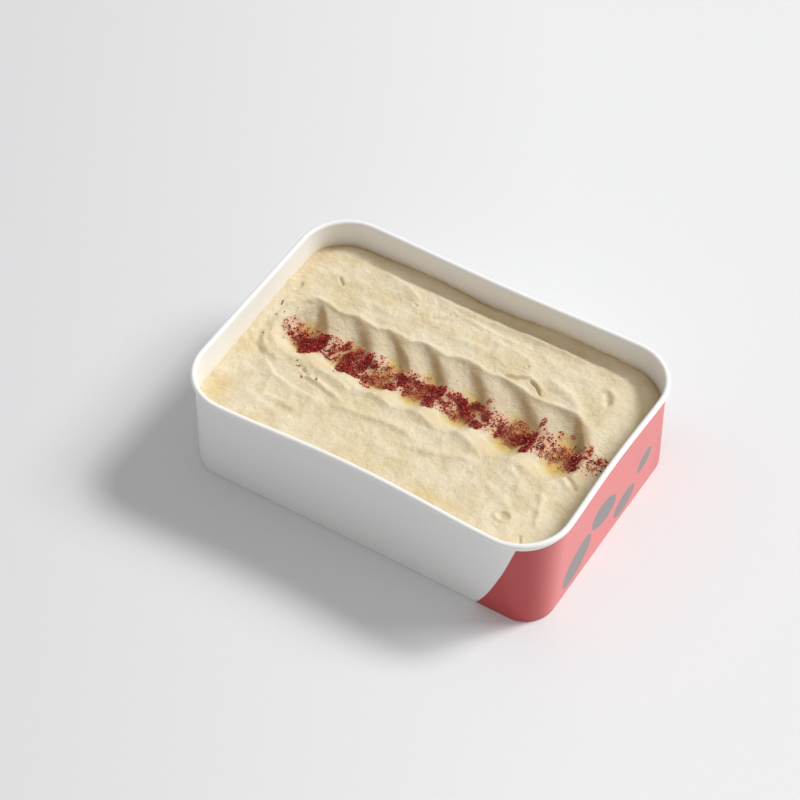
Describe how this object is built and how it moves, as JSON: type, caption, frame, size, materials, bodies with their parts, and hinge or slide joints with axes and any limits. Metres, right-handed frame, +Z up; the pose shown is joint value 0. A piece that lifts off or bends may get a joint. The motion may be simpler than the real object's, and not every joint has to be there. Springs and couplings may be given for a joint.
{
  "type": "hummus tub",
  "caption": "Rectangular takeaway tub with a rolled rim, full of hummus pressed into a row of spoon dents with sumac and olive oil.",
  "frame": {"origin": "middle of the tub's foot, on the surface it stands on", "axes": "+X along the tub's longer side, +Y to the long side behind the row of dents, +Z up"},
  "size_m": [0.172, 0.1188, 0.05],
  "materials": {
    "tub": "satin coated board",
    "hummus": "soft matt paste",
    "oil": "clear glossy oil"
  },
  "bodies": {
    "root": {"tub": "tub", "hummus": "hummus", "oil_back_1": "oil", "oil_back_2": "oil", "oil_back_3": "oil", "oil_back_4": "oil", "oil_back_5": "oil", "oil_back_6": "oil", "oil_back_7": "oil", "oil_front_3": "oil", "oil_front_4": "oil", "oil_front_5": "oil", "oil_front_6": "oil", "oil_front_7": "oil"}
  },
  "joints": []
}
